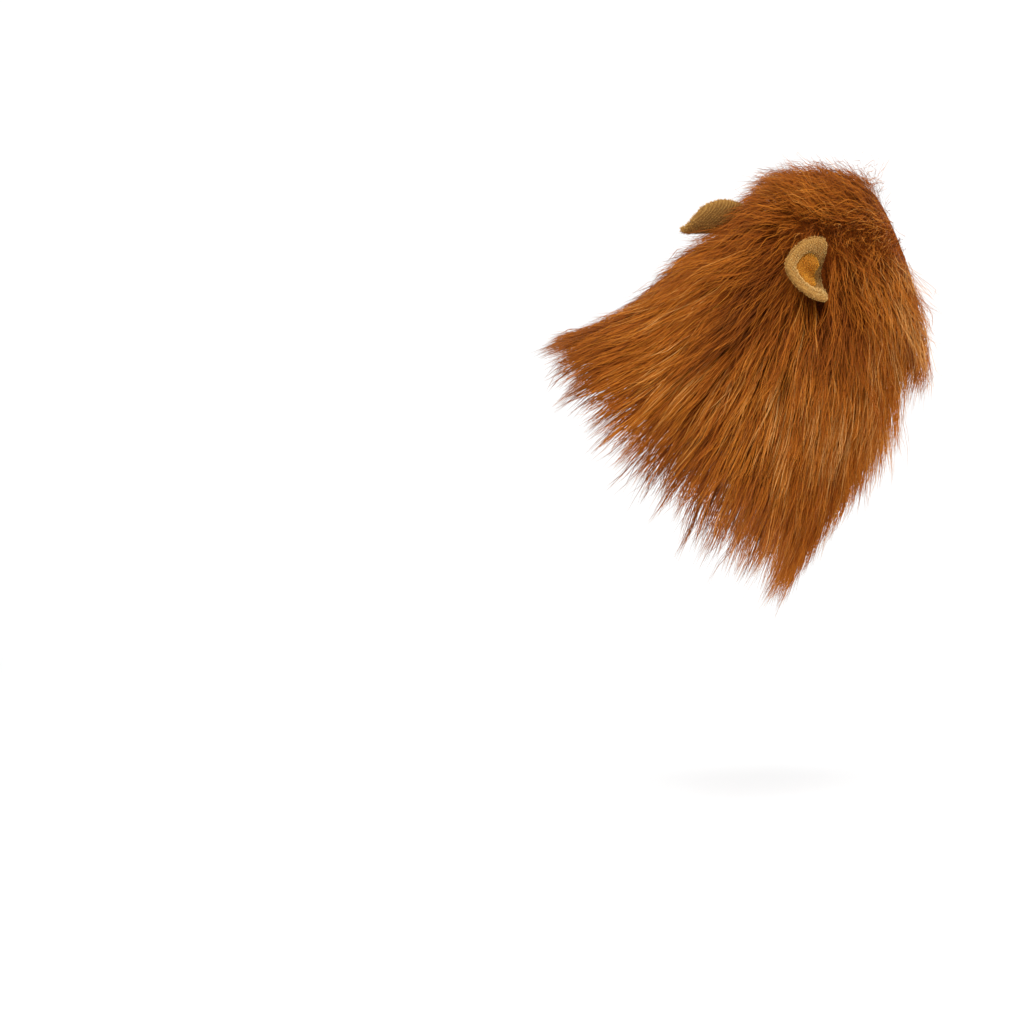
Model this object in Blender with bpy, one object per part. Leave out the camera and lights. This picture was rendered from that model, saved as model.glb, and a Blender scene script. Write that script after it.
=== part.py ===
"""A lion mane wig: a hood of long-pile fur cloth, open at the face and at the neck, with two plush ears.

Metres, +Z up. The face opening looks along -Y, the right side is at -X, and the origin is the point inside
the hood where the crown rests.
"""

import math
import random

import bmesh
import bpy
import numpy as np

# Hood sizes
FACE_HEIGHT = 0.159
FACE_WIDTH = 0.135
FACE_TILT = math.radians(21)
HEM_HEIGHT = 0.280
HEM_WIDTH = 0.215
HEM_TILT = math.radians(52)
HOOD_LENGTH = 0.207
HOOD_DROP = 0.177
SIDE_DIP = 0.12
WALL = 0.0018
HEM_BAND = 0.014
HEM_THICKNESS = 0.0040
ROUNDNESS = 2.15
HOOD_SIDES = 36
HOOD_ROWS = 11
SEAT_ALONG = 0.22

# The hood's cross-sections, from the face opening (along 0) to the neck hem (along 1), and one past the hem
# that the free locks lie over. Columns: along, back in HOOD_LENGTH, down in HOOD_DROP, then tilt, height and
# width, each as a share of the way from the face's size to the hem's.
SECTIONS = (
    (0.000, 0.000, 0.000, 0.000, 0.000, 0.000),
    (0.225, 0.299, 0.076, 0.268, 0.291, 0.190),
    (0.624, 0.660, 0.552, 0.801, 0.593, 0.500),
    (1.000, 1.000, 1.000, 1.000, 1.000, 1.000),
    (1.360, 1.313, 1.445, 0.583, 1.660, 1.440),
)

# Fur sizes
GAP = 0.0003
ROOT_LAYER = 0.010
ROOTED = 0.9
LOCK_LENGTH = 0.118
LENGTH_VARIES = 0.1
LOCK_WIDTH = 0.046
LOCK_THICKNESS = 0.019
LOCK_SPACING = 0.046
LOCK_SIDES = 4
WALK_STEPS = 8
FUR_LOFT = 0.050
LOFT_POWER = 0.7
FUR_SEED = 7

# How the fur is combed: shares of the pull that spreads it from a whorl inside the head. The whorl is part of
# the way up from the middle of the hood's section to its top.
WHORL_ALONG = 0.40
WHORL_RISE = 0.35
FALL = 0.22
COMB_BACK = 0.18
TOP_COMB = 0.55
FORWARD_COMB = 0.65
FACE_COMB = 0.45
FACE_FRINGE = 0.25
FRINGE_BELOW = 0.60
TURN_BELOW = 0.1
LEAST_PULL = 0.6
STIFFNESS = 0.6

# The small step that slopes are measured over
NUDGE = 0.01

# Rows of locks. Columns: along, length in LOCK_LENGTH at the top and at the underside, spacing in
# LOCK_SPACING, and how far a lock at the top may turn from the comb, in radians.
LOCK_ROWS = (
    (0.030, 0.42, 0.80, 1.00, 0.50),
    (0.130, 0.54, 0.86, 1.00, 0.70),
    (0.260, 0.66, 0.90, 1.00, 0.40),
    (0.400, 0.84, 0.92, 1.00, 0.20),
    (0.550, 0.94, 0.94, 1.00, 0.14),
    (0.720, 1.00, 1.00, 1.00, 0.12),
    (0.860, 0.94, 1.14, 0.85, 0.10),
    (0.970, 0.94, 1.22, 0.80, 0.10),
)

# How high the lock tips stand over the hood.
# Columns: along, then FUR_LOFT shares at the top, side and underside.
LOFT = (
    (0.00, 0.36, 0.76, 2.00),
    (0.20, 0.78, 0.96, 1.70),
    (0.45, 0.56, 1.00, 1.40),
    (0.75, 0.40, 0.90, 0.90),
    (1.10, 0.24, 0.66, 0.40),
)

# A lock from root to tip. Columns: share of the length, width, thickness.
LOCK_FORM = (
    (0.00, 0.62, 0.55),
    (0.34, 1.00, 1.00),
    (0.72, 0.74, 0.74),
)

# Ear sizes
EAR_HEIGHT = 0.071
EAR_LENGTH = 0.094
EAR_CUP = 0.024
EAR_WALL = 0.0045
EAR_RIM = 0.0085
EAR_BAND = 0.013
LINING_WALL = 0.0016
EAR_CENTRE = 0.45
PANEL_RINGS = (0.50, 0.86)
ROLL_RING = 0.97
HOLLOW_RING = 0.40
EAR_SIDES = 20
EAR_SEAT = 0.0006
EAR_CLEAR = 0.0005

# A lock that would come this near an ear is cut to one of these shares of its length, or left out.
LOCK_CLEAR = 0.018
LOCK_TRIES = (1.0, 0.75, 0.5)

# Where each ear is sewn on. The hood sits turned on the head, so the two aren't level.
# Columns: name, around in degrees, along, and lean away from the hood's normal in degrees.
EARS = (
    ("right_ear", 86, 0.345, 31),
    ("left_ear", -4, 0.405, 53),
)

# The ear's outline from its base to its free edge, and how much its sides curl in.
# Columns: length from the base in EAR_LENGTH, half width in EAR_HEIGHT / 2, curl in EAR_CUP.
EAR_FORM = (
    (0.00, 0.30, 1.30),
    (0.12, 0.66, 1.20),
    (0.35, 0.96, 1.05),
    (0.55, 1.00, 1.00),
    (0.80, 0.78, 0.90),
    (1.00, 0.06, 0.80),
)


def between(low, high, share):
    return low + (high - low) * share


def unit(vector):
    return vector / np.linalg.norm(vector)


def underside(around):
    """0 at the top of the hood, 1 at its underside."""
    return 0.5 - 0.5 * math.cos(around)


def spline(table, along):
    """The table's other columns at along, on a smooth curve through its rows."""
    rows = np.array(table)
    places = rows[:, 0]
    slopes = np.gradient(rows[:, 1:], places, axis=0)
    if along <= places[0]:
        return rows[0, 1:] + slopes[0] * (along - places[0])
    if along >= places[-1]:
        return rows[-1, 1:] + slopes[-1] * (along - places[-1])
    i = int(np.searchsorted(places, along, side="right")) - 1
    span = places[i + 1] - places[i]
    t = (along - places[i]) / span
    start = (1 + 2 * t) * (1 - t) ** 2
    end = t * t * (3 - 2 * t)
    leave = t * (1 - t) ** 2 * span
    arrive = t * t * (t - 1) * span
    return start * rows[i, 1:] + end * rows[i + 1, 1:] + leave * slopes[i] + arrive * slopes[i + 1]


def form_point(around, along, out=0.0):
    """A point on the form that the hood follows. around is 0 at the top and grows towards the right side."""
    back, down, tilt, height, width = spline(SECTIONS, along * (1 + SIDE_DIP * math.sin(around) ** 2))
    angle = between(FACE_TILT, HEM_TILT, tilt)
    half_height = between(FACE_HEIGHT, HEM_HEIGHT, height) / 2 + out
    half_width = between(FACE_WIDTH, HEM_WIDTH, width) / 2 + out
    rise = math.copysign(abs(math.cos(around)) ** (2 / ROUNDNESS), math.cos(around)) * half_height
    side = math.copysign(abs(math.sin(around)) ** (2 / ROUNDNESS), math.sin(around)) * half_width
    rearward = back * HOOD_LENGTH + rise * math.sin(angle)
    return np.array((-side, rearward, rise * math.cos(angle) - down * HOOD_DROP))


SEAT = form_point(0.0, SEAT_ALONG, -WALL)


def hood_point(around, along, out=0.0):
    return form_point(around, along, out) - SEAT


MIDDLE = (hood_point(math.pi / 2, WHORL_ALONG) + hood_point(-math.pi / 2, WHORL_ALONG)) / 2
WHORL = between(MIDDLE, hood_point(0.0, WHORL_ALONG), WHORL_RISE)


def outward(around, along):
    """The unit normal of the form, away from the hollow."""
    round_it = hood_point(around + NUDGE, along) - hood_point(around - NUDGE, along)
    along_it = hood_point(around, along + NUDGE) - hood_point(around, along - NUDGE)
    return unit(np.cross(along_it, round_it))


def girth(along):
    points = [hood_point(math.tau * i / HOOD_SIDES, along) for i in range(HOOD_SIDES)]
    return sum(np.linalg.norm(points[i] - points[i - 1]) for i in range(HOOD_SIDES))


def material(name, colour, roughness):
    made = bpy.data.materials.new(name)
    made.use_nodes = True
    shader = made.node_tree.nodes["Principled BSDF"]
    shader.inputs["Base Color"].default_value = (*colour, 1)
    shader.inputs["Roughness"].default_value = roughness
    shader.inputs["Metallic"].default_value = 0
    return made


def add_object(name, verts, faces, skin):
    mesh = bpy.data.meshes.new(name)
    mesh.from_pydata([tuple(v) for v in verts], [], faces)
    mesh.materials.append(skin)
    made = bpy.data.objects.new(name, mesh)
    bpy.context.scene.collection.objects.link(made)
    work = bmesh.new()
    work.from_mesh(mesh)
    bmesh.ops.recalc_face_normals(work, faces=work.faces)
    work.to_mesh(mesh)
    work.free()
    mesh.shade_smooth()
    return made


def tube_faces(rings, sides, closed_on_itself):
    """Triangles between successive rings of sides points, and back to the first ring if closed_on_itself."""
    faces = []
    for i in range(rings if closed_on_itself else rings - 1):
        j = (i + 1) % rings
        for k in range(sides):
            m = (k + 1) % sides
            faces.append((i * sides + k, i * sides + m, j * sides + m))
            faces.append((i * sides + k, j * sides + m, j * sides + k))
    return faces


def shell(name, rows, skin):
    """A closed wall round the hood, whose rows of (along, out) go once round the wall's own section."""
    turns = [math.tau * k / HOOD_SIDES for k in range(HOOD_SIDES)]
    verts = [hood_point(turn, along, out) for along, out in rows for turn in turns]
    return add_object(name, verts, tube_faces(len(rows), HOOD_SIDES, True), skin)


def hem_share():
    return HEM_BAND / math.hypot(HOOD_LENGTH, HOOD_DROP)


def hood_rows():
    """The places along the hood where both the backing and the fur's root layer have a ring."""
    band = hem_share()
    inner = np.linspace(2 * band, 1 - 2 * band, HOOD_ROWS - 2)
    return [0.0, *inner, 1.0]


def build_backing():
    """The backing cloth, whose edges are turned in as hems."""
    rows = hood_rows()
    band = hem_share()
    outside = [(along, 0.0) for along in rows]
    neck_hem = [(1.0, -HEM_THICKNESS), (1 - band, -HEM_THICKNESS)]
    face_hem = [(band, -HEM_THICKNESS), (0.0, -HEM_THICKNESS)]
    inside = [(along, -WALL) for along in reversed(rows[1:-1])]
    cloth = material("backing_cloth", (0.30, 0.17, 0.08), 0.9)
    return shell("hood_backing", outside + neck_hem + inside + face_hem, cloth)


def loft_at(around, along):
    at_top, at_side, at_underside = spline(LOFT, along)
    middle = at_top if math.cos(around) > 0 else at_underside
    return FUR_LOFT * between(middle, at_side, math.sin(around) ** 2)


def comb_direction(around, along):
    """Fur radiates from the whorl and falls. It is combed back, most on top and at the edge over the face."""
    aside, rearward, upward = unit(hood_point(around, along) - WHORL)
    fringe = max(0.0, 1 - along / FACE_FRINGE) * between(1, FRINGE_BELOW, underside(around))
    comb = between(COMB_BACK, TOP_COMB, max(0.0, math.cos(around))) + FACE_COMB * fringe
    rearward = rearward * (FORWARD_COMB if rearward < 0 else 1)
    return np.array((aside, rearward + comb, upward - FALL))


def surface_move(around, along, height, wanted):
    """The change in around and along that moves a point at this height over the hood by wanted."""
    here = hood_point(around, along, height)
    per_turn = (hood_point(around + NUDGE, along, height) - here) / NUDGE
    per_along = (hood_point(around, along + NUDGE, height) - here) / NUDGE
    return np.linalg.lstsq(np.column_stack((per_turn, per_along)), wanted, rcond=None)[0]


def lock_path(around, along, length, turn):
    """(point, normal of the hood below it) at each step of a lock that lies over the form, as one array."""
    loft = loft_at(around, along)
    path = []
    last = None
    for step in range(WALK_STEPS + 1):
        share = step / WALK_STEPS
        normal = outward(around, along)
        heading = comb_direction(around, along)
        if last is not None:
            heading = between(heading, last, STIFFNESS)
        heading = heading - normal * (heading @ normal)
        heading = heading / max(np.linalg.norm(heading), LEAST_PULL)
        if last is None:
            heading = heading * math.cos(turn) + np.cross(normal, heading) * math.sin(turn)
        last = heading
        height = ROOT_LAYER * ROOTED + loft * share ** LOFT_POWER
        path.append((*hood_point(around, along, height), *normal))
        moved = surface_move(around, along, height, heading * length / WALK_STEPS)
        around, along = around + moved[0], along + moved[1]
    return np.array(path)


def build_lock(name, path, skin):
    """One flat, tapering lock from the root layer to its tip."""
    steps = np.linspace(0, 1, WALK_STEPS + 1)
    verts = []
    for share, width, thickness in LOCK_FORM:
        before, here, after = (
            np.array([np.interp(place, steps, path[:, k]) for k in range(6)])
            for place in (share - steps[1], share, share + steps[1])
        )
        tangent = unit(after[:3] - before[:3])
        across = unit(np.cross(tangent, here[3:]))
        up = np.cross(across, tangent)
        for k in range(LOCK_SIDES):
            angle = math.tau * k / LOCK_SIDES
            aside = across * math.cos(angle) * width * LOCK_WIDTH / 2
            verts.append(here[:3] + aside + up * math.sin(angle) * thickness * LOCK_THICKNESS / 2)
    rings = len(LOCK_FORM)
    faces = tube_faces(rings, LOCK_SIDES, False)
    faces.append(tuple(range(LOCK_SIDES)))
    tip = len(verts)
    verts.append(path[-1][:3])
    last = (rings - 1) * LOCK_SIDES
    faces += [(last + k, last + (k + 1) % LOCK_SIDES, tip) for k in range(LOCK_SIDES)]
    return add_object(name, verts, faces, skin)


def ear_frame(around, along, lean):
    """The directions across the ear, from its base to its free edge, and out of its hollow."""
    normal = outward(around, along)
    rear = np.array((0.0, 1.0, 0.0))
    rear = unit(rear - normal * (rear @ normal))
    reach = normal * math.cos(lean) + rear * math.sin(lean)
    facing = normal * math.sin(lean) - rear * math.cos(lean)
    return np.cross(reach, facing), reach, facing


def height_over_hood(point, around, along):
    for _ in range(6):
        moved = surface_move(around, along, 0.0, point - hood_point(around, along))
        around, along = around + moved[0], along + moved[1]
    return (point - hood_point(around, along)) @ outward(around, along)


def ear_sheet(share, angle, offset):
    """A point on the ear's curved sheet, in its own frame. share runs from its centre to its outline."""
    edge_reach = underside(angle)
    edge_half = spline(EAR_FORM, edge_reach)[0] * np.sign(round(math.sin(angle), 6))
    reach = between(EAR_CENTRE, edge_reach, share)
    half = share * edge_half
    curl = spline(EAR_FORM, reach)[1]
    curl_slope = (spline(EAR_FORM, reach + NUDGE)[1] - curl) / NUDGE
    point = np.array((half * EAR_HEIGHT / 2, reach * EAR_LENGTH, curl * EAR_CUP * half ** 2))
    over_half = np.array((EAR_HEIGHT / 2, 0.0, 2 * curl * EAR_CUP * half))
    over_reach = np.array((0.0, EAR_LENGTH, curl_slope * EAR_CUP * half ** 2))
    return point + unit(np.cross(over_half, over_reach)) * offset


def ear_verts(profile, base, directions):
    """The profile's rows of (share, offset), turned about the ear's middle, with a point at each end."""
    local = [ear_sheet(0.0, 0.0, profile[0][1])]
    for share, offset in profile[1:-1]:
        local += [ear_sheet(share, math.tau * k / EAR_SIDES, offset) for k in range(EAR_SIDES)]
    local.append(ear_sheet(0.0, 0.0, profile[-1][1]))
    return [base + np.array(directions).T @ point for point in local]


def ear_solid(name, profile, base, directions, skin):
    verts = ear_verts(profile, base, directions)
    rings = len(profile) - 2
    faces = [tuple(index + 1 for index in face) for face in tube_faces(rings, EAR_SIDES, False)]
    last = 1 + (rings - 1) * EAR_SIDES
    for k in range(EAR_SIDES):
        m = (k + 1) % EAR_SIDES
        faces.append((0, 1 + m, 1 + k))
        faces.append((last + k, last + m, len(verts) - 1))
    return add_object(name, verts, faces, skin)


def build_ear(name, around, along, lean):
    """The ear's plush shell and its lining. Returns the shell's points, and the hole it needs in the fur."""
    lip = 1 - EAR_BAND / (EAR_HEIGHT / 2)
    edge = EAR_CLEAR / (EAR_HEIGHT / 2)
    back = -EAR_WALL
    roll = EAR_RIM / 2
    front = GAP + LINING_WALL
    shell_profile = (
        (0.0, back),
        *((ring, back) for ring in PANEL_RINGS),
        (ROLL_RING, -roll),
        (1.0, 0.0),
        (ROLL_RING, roll),
        (lip, roll),
        (lip, 0.0),
        (lip - edge, 0.0),
        (HOLLOW_RING, 0.0),
        (0.0, 0.0),
    )
    lining_profile = (
        (0.0, front),
        (HOLLOW_RING, front),
        (lip - edge, front),
        (lip - edge, GAP),
        (HOLLOW_RING, GAP),
        (0.0, GAP),
    )
    hole_profile = (
        (0.0, back - EAR_CLEAR),
        *((ring, back - EAR_CLEAR) for ring in PANEL_RINGS),
        (ROLL_RING, -roll - EAR_CLEAR),
        (1.0 + 2 * edge, 0.0),
        (ROLL_RING, roll + EAR_CLEAR),
        (lip, roll + EAR_CLEAR),
        (HOLLOW_RING, front + EAR_CLEAR),
        (0.0, front + EAR_CLEAR),
    )
    around, lean = math.radians(around), math.radians(lean)
    directions = ear_frame(around, along, lean)
    base = hood_point(around, along)
    unseated = ear_verts(shell_profile, base, directions)
    sunk = min(height_over_hood(point, around, along) for point in unseated)
    base = base + outward(around, along) * (EAR_SEAT - sunk)
    plush = material(name + "_plush", (0.55, 0.33, 0.13), 0.85)
    ear_solid(name + "_shell", shell_profile, base, directions, plush)
    pile = material(name + "_pile", (0.40, 0.20, 0.05), 0.85)
    ear_solid(name + "_lining", lining_profile, base, directions, pile)
    hole = ear_solid(name + "_hole", hole_profile, base, directions, plush)
    hole.hide_render = True
    hole.display_type = "WIRE"
    return ear_verts(shell_profile, base, directions), hole


def clear_path(around, along, length, turn, ears):
    """The longest lock path from here that stays clear of the ears, or None."""
    for share in LOCK_TRIES:
        path = lock_path(around, along, length * share, turn)
        gaps = np.linalg.norm(path[:, None, :3] - ears[None], axis=2)
        if gaps.min() > LOCK_CLEAR:
            return path
    return None


def build_fur(ears, holes):
    skin = material("mane_fur", (0.42, 0.13, 0.02), 0.6)
    rows = hood_rows()
    inside = [(along, GAP) for along in rows]
    outside = [(along, ROOT_LAYER) for along in reversed(rows)]
    fur = shell("mane_fur", inside + outside, skin)
    locks = bpy.data.collections.new("locks")
    bpy.context.scene.collection.children.link(locks)
    chance = random.Random(FUR_SEED)
    for row, (along, at_top, at_underside, spacing, turn) in enumerate(LOCK_ROWS):
        count = round(girth(along) / (LOCK_SPACING * spacing))
        for k in range(count):
            around = math.tau * (k + 0.5 * (row % 2)) / count
            length = LOCK_LENGTH * between(at_top, at_underside, underside(around))
            length = length * (1 + chance.uniform(-LENGTH_VARIES, LENGTH_VARIES))
            swing = chance.uniform(-turn, turn) * between(1, TURN_BELOW, underside(around))
            path = clear_path(around, along, length, swing, ears)
            if path is None:
                continue
            lock = build_lock(f"lock_{row}_{k}", path, skin)
            bpy.context.scene.collection.objects.unlink(lock)
            locks.objects.link(lock)
            lock.hide_render = True
            lock.display_type = "WIRE"
    join = fur.modifiers.new("fuse_locks", "BOOLEAN")
    join.operation = "UNION"
    join.operand_type = "COLLECTION"
    join.collection = locks
    join.solver = "EXACT"
    for hole in holes:
        cut = fur.modifiers.new(hole.name, "BOOLEAN")
        cut.operation = "DIFFERENCE"
        cut.object = hole
        cut.solver = "EXACT"
    fuse(fur)
    return fur


def fuse(piece):
    """Applies the piece's Booleans, and closes the pockets that they leave between the joined shapes."""
    graph = bpy.context.evaluated_depsgraph_get()
    work = bmesh.new()
    work.from_object(piece, graph)
    piece.modifiers.clear()
    bmesh.ops.triangulate(work, faces=work.faces)
    waiting = set(work.faces)
    bodies = []
    while waiting:
        body = {waiting.pop()}
        front = list(body)
        while front:
            sides = [side for side in front.pop().edges if len(side.link_faces) == 2]
            near = {face for side in sides for face in side.link_faces} & waiting
            waiting -= near
            body |= near
            front += near
        bodies.append(body)
    outer = max(bodies, key=len)
    pockets = [face for body in bodies if body is not outer for face in body]
    bmesh.ops.delete(work, geom=pockets, context="FACES")
    work.to_mesh(piece.data)
    work.free()


def main():
    for old in list(bpy.data.objects):
        bpy.data.objects.remove(old, do_unlink=True)
    build_backing()
    made = [build_ear(*ear) for ear in EARS]
    ears = np.array([point for points, hole in made for point in points])
    build_fur(ears, [hole for points, hole in made])


main()
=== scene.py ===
"""The looks of a lion mane wig for a large pet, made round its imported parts. Metres, in the parts' own frame."""

import math

import bmesh
import bpy
import numpy as np
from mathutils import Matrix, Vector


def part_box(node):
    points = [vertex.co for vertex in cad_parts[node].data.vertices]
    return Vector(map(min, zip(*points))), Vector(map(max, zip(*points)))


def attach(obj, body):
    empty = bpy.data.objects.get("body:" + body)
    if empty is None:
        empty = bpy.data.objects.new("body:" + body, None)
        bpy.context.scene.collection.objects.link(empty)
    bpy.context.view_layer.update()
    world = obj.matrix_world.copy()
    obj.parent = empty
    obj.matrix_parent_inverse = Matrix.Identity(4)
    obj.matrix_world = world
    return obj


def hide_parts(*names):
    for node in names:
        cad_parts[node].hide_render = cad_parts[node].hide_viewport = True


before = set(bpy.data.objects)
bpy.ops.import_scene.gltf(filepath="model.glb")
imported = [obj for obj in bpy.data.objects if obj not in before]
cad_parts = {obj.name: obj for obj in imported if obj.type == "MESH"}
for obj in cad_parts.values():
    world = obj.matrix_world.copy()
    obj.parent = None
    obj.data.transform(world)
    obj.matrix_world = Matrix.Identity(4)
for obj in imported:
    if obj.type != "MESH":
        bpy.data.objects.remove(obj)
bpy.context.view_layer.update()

# The camera stands level at the wig's right side, as far off as for a picture of the whole wearer, whose frame
# it keeps. The seat of the crown is the parts' origin, so its pixel places the frame.
PHOTO_PIXELS = 1010
SEAT_PIXEL = (805, 197)
PIXEL = 0.00122
CAMERA_REACH = 3.2
SENSOR = 36
lens = bpy.data.cameras.new("camera")
lens.sensor_width = SENSOR
lens.lens = SENSOR * CAMERA_REACH / (PHOTO_PIXELS * PIXEL)
camera = bpy.data.objects.new("camera", lens)
camera.location = (
    -CAMERA_REACH,
    (SEAT_PIXEL[0] - PHOTO_PIXELS / 2) * PIXEL,
    (SEAT_PIXEL[1] - PHOTO_PIXELS / 2) * PIXEL,
)
camera.rotation_euler = (math.pi / 2, 0, -math.pi / 2)
bpy.context.scene.collection.objects.link(camera)
bpy.context.scene.camera = camera

# The studio is a white floor that curves up into a white wall, under one wide soft light from above the camera
# and a weaker one from the front. The floor is as far below the wig as the wearer's feet were.
FLOOR_PIXEL = 815
WALL_REACH = 4.5
WALL_BEND = 1.5
FLOOR_HALF = 9.0
BEND_STEPS = 12
KEY_LIGHT = ((-2.6, 0.5, 2.4), 2.2, 75)
FRONT_LIGHT = ((-1.2, -2.8, 0.8), 2.4, 30)
SKY = 0.95


def put(name, mesh, skin=None):
    """Adds a mesh to the scene as an object at the origin."""
    made = bpy.data.objects.new(name, mesh)
    if skin:
        mesh.materials.clear()
        mesh.materials.append(skin)
    bpy.context.scene.collection.objects.link(made)
    return made


def woven(name, verts, faces, skin=None):
    """Adds an object made of points and faces."""
    mesh = bpy.data.meshes.new(name)
    mesh.from_pydata([tuple(v) for v in verts], [], faces)
    mesh.shade_smooth()
    return put(name, mesh, skin)


def soft_light(name, place, size, power):
    light = bpy.data.lights.new(name, "AREA")
    light.size = size
    light.energy = power
    lamp = bpy.data.objects.new(name, light)
    lamp.location = place
    aim = np.array(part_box("mane_fur")).mean(axis=0) - np.array(place)
    flat = math.hypot(aim[0], aim[1])
    lamp.rotation_euler = (math.atan2(flat, -aim[2]), 0, math.atan2(-aim[0], aim[1]))
    bpy.context.scene.collection.objects.link(lamp)


white = bpy.data.materials.new("studio_white")
white.use_nodes = True
white.node_tree.nodes["Principled BSDF"].inputs["Base Color"].default_value = (0.93, 0.93, 0.93, 1)
white.node_tree.nodes["Principled BSDF"].inputs["Roughness"].default_value = 0.9
floor_level = (SEAT_PIXEL[1] - FLOOR_PIXEL) * PIXEL
profile = [(-FLOOR_HALF, floor_level)]
for step in range(BEND_STEPS + 1):
    turn = math.pi / 2 * step / BEND_STEPS
    across = WALL_REACH - WALL_BEND + WALL_BEND * math.sin(turn)
    profile.append((across, floor_level + WALL_BEND * (1 - math.cos(turn))))
profile.append((WALL_REACH, floor_level + FLOOR_HALF))
studio = woven(
    "studio",
    [(x, side * FLOOR_HALF, z) for x, z in profile for side in (-1, 1)],
    [(2 * i, 2 * i + 2, 2 * i + 3, 2 * i + 1) for i in range(len(profile) - 1)],
    white,
)
soft_light("key_light", *KEY_LIGHT)
soft_light("front_light", *FRONT_LIGHT)
world = bpy.data.worlds.new("sky")
bpy.context.scene.world = world
world.use_nodes = True
world.node_tree.nodes["Background"].inputs["Color"].default_value = (1, 1, 1, 1)
world.node_tree.nodes["Background"].inputs["Strength"].default_value = SKY
bpy.context.scene.view_settings.view_transform = "Standard"

# The hood is one tube of knitted backing cloth, from the face opening to the neck hem. It is cut from the same
# fur cloth as the mane, so its outside carries the pile and its inside shows the knit. Near both ends it puckers
# where the elastic draws it in.
FACE_HEIGHT = 0.159
FACE_WIDTH = 0.135
FACE_TILT = math.radians(21)
HEM_HEIGHT = 0.280
HEM_WIDTH = 0.215
HEM_TILT = math.radians(52)
HOOD_LENGTH = 0.207
HOOD_DROP = 0.177
SIDE_DIP = 0.12
ROUNDNESS = 2.15
SEAT_ALONG = 0.22
WALL = 0.0018
SECTIONS = (
    (0.000, 0.000, 0.000, 0.000, 0.000, 0.000),
    (0.225, 0.299, 0.076, 0.268, 0.291, 0.190),
    (0.624, 0.660, 0.552, 0.801, 0.593, 0.500),
    (1.000, 1.000, 1.000, 1.000, 1.000, 1.000),
    (1.360, 1.313, 1.445, 0.583, 1.660, 1.440),
)
CLOTH_COLUMNS = 216
CLOTH_ROWS = 30
CLOTH_EDGE = 0.003
GATHERS = 40
GATHER_DEPTH = 0.0011
GATHER_REACH = 0.030
KNIT = 0.0017
KNIT_THREAD = (0.23, 0.115, 0.048)
KNIT_SHADOW = (0.045, 0.018, 0.006)


def spline(table, along):
    """The table's other columns at each along, on a smooth curve through its rows, and straight past its ends."""
    rows = np.array(table)
    places, values = rows[:, 0], rows[:, 1:]
    slopes = np.gradient(values, places, axis=0)
    along = np.asarray(along, float)
    kept = np.clip(along, places[0], places[-1])
    i = np.clip(np.searchsorted(places, kept, side="right") - 1, 0, len(places) - 2)
    span = (places[i + 1] - places[i])[..., None]
    t = (kept - places[i])[..., None] / span
    curve = (1 + 2 * t) * (1 - t) ** 2 * values[i] + t * t * (3 - 2 * t) * values[i + 1]
    curve = curve + (t * (1 - t) ** 2 * slopes[i] + t * t * (t - 1) * slopes[i + 1]) * span
    past = (along - kept)[..., None]
    return curve + past * np.where(past > 0, slopes[-1], slopes[0])


def form_point(around, along, out=0.0):
    """Points on the form that the hood follows. around is 0 at the top and grows towards the right side."""
    dipped = along * (1 + SIDE_DIP * np.sin(around) ** 2)
    back, down, tilt, height, width = np.moveaxis(spline(SECTIONS, dipped), -1, 0)
    angle = FACE_TILT + (HEM_TILT - FACE_TILT) * tilt
    half_height = (FACE_HEIGHT + (HEM_HEIGHT - FACE_HEIGHT) * height) / 2 + out
    half_width = (FACE_WIDTH + (HEM_WIDTH - FACE_WIDTH) * width) / 2 + out
    rise = np.sign(np.cos(around)) * np.abs(np.cos(around)) ** (2 / ROUNDNESS) * half_height
    side = np.sign(np.sin(around)) * np.abs(np.sin(around)) ** (2 / ROUNDNESS) * half_width
    rearward = back * HOOD_LENGTH + rise * np.sin(angle)
    return np.stack((-side, rearward, rise * np.cos(angle) - down * HOOD_DROP), -1)


seat = form_point(np.array(0.0), np.array(SEAT_ALONG), -WALL)


def hood_point(around, along, out=0.0):
    return form_point(around, along, out) - seat


def tube_faces(rings, sides, closed):
    """Faces between rings of points, and from the last ring back to the first if closed."""
    faces = []
    for i in range(rings if closed else rings - 1):
        j = (i + 1) % rings
        for k in range(sides):
            m = (k + 1) % sides
            faces.append((i * sides + k, i * sides + m, j * sides + m, j * sides + k))
    return faces


def face_out(mesh):
    """Turns a closed mesh's faces outwards."""
    work = bmesh.new()
    work.from_mesh(mesh)
    bmesh.ops.recalc_face_normals(work, faces=work.faces)
    work.to_mesh(mesh)
    work.free()
    mesh.shade_smooth()


def area_of(piece):
    return sum(face.area for face in piece.data.polygons)


def run_of(points):
    """How long the line through these points is."""
    return np.linalg.norm(np.diff(points, axis=0), axis=1).sum()


def tube(name, section, columns, ripple, skin):
    """A closed wall round the hood, with a map of its weave in metres. section is once round the wall itself."""
    turns = np.arange(columns) * math.tau / columns
    along, around = np.meshgrid([row[0] for row in section], turns, indexing="ij")
    out = np.repeat(np.array([row[1] for row in section])[:, None], columns, axis=1)
    points = hood_point(around, along, out + ripple(around, along, out))
    mesh = bpy.data.meshes.new(name)
    mesh.from_pydata(points.reshape(-1, 3).tolist(), [], tube_faces(len(section), columns, True))
    steps = np.linalg.norm(np.roll(points, -1, axis=0) - points, axis=2).mean(axis=1)
    down = np.concatenate(([0], np.cumsum(steps)))
    stride = np.linalg.norm(np.roll(points, -1, axis=1) - points, axis=2).mean()
    row, column = np.divmod(np.arange(len(section) * columns), columns)
    across = np.stack((column, column + 1, column + 1, column), 1) * stride
    rows = down[np.stack((row, row, row + 1, row + 1), 1)]
    mesh.uv_layers.new(name="weave").data.foreach_set("uv", np.stack((across, rows), 2).ravel())
    face_out(mesh)
    return put(name, mesh, skin)


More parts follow.
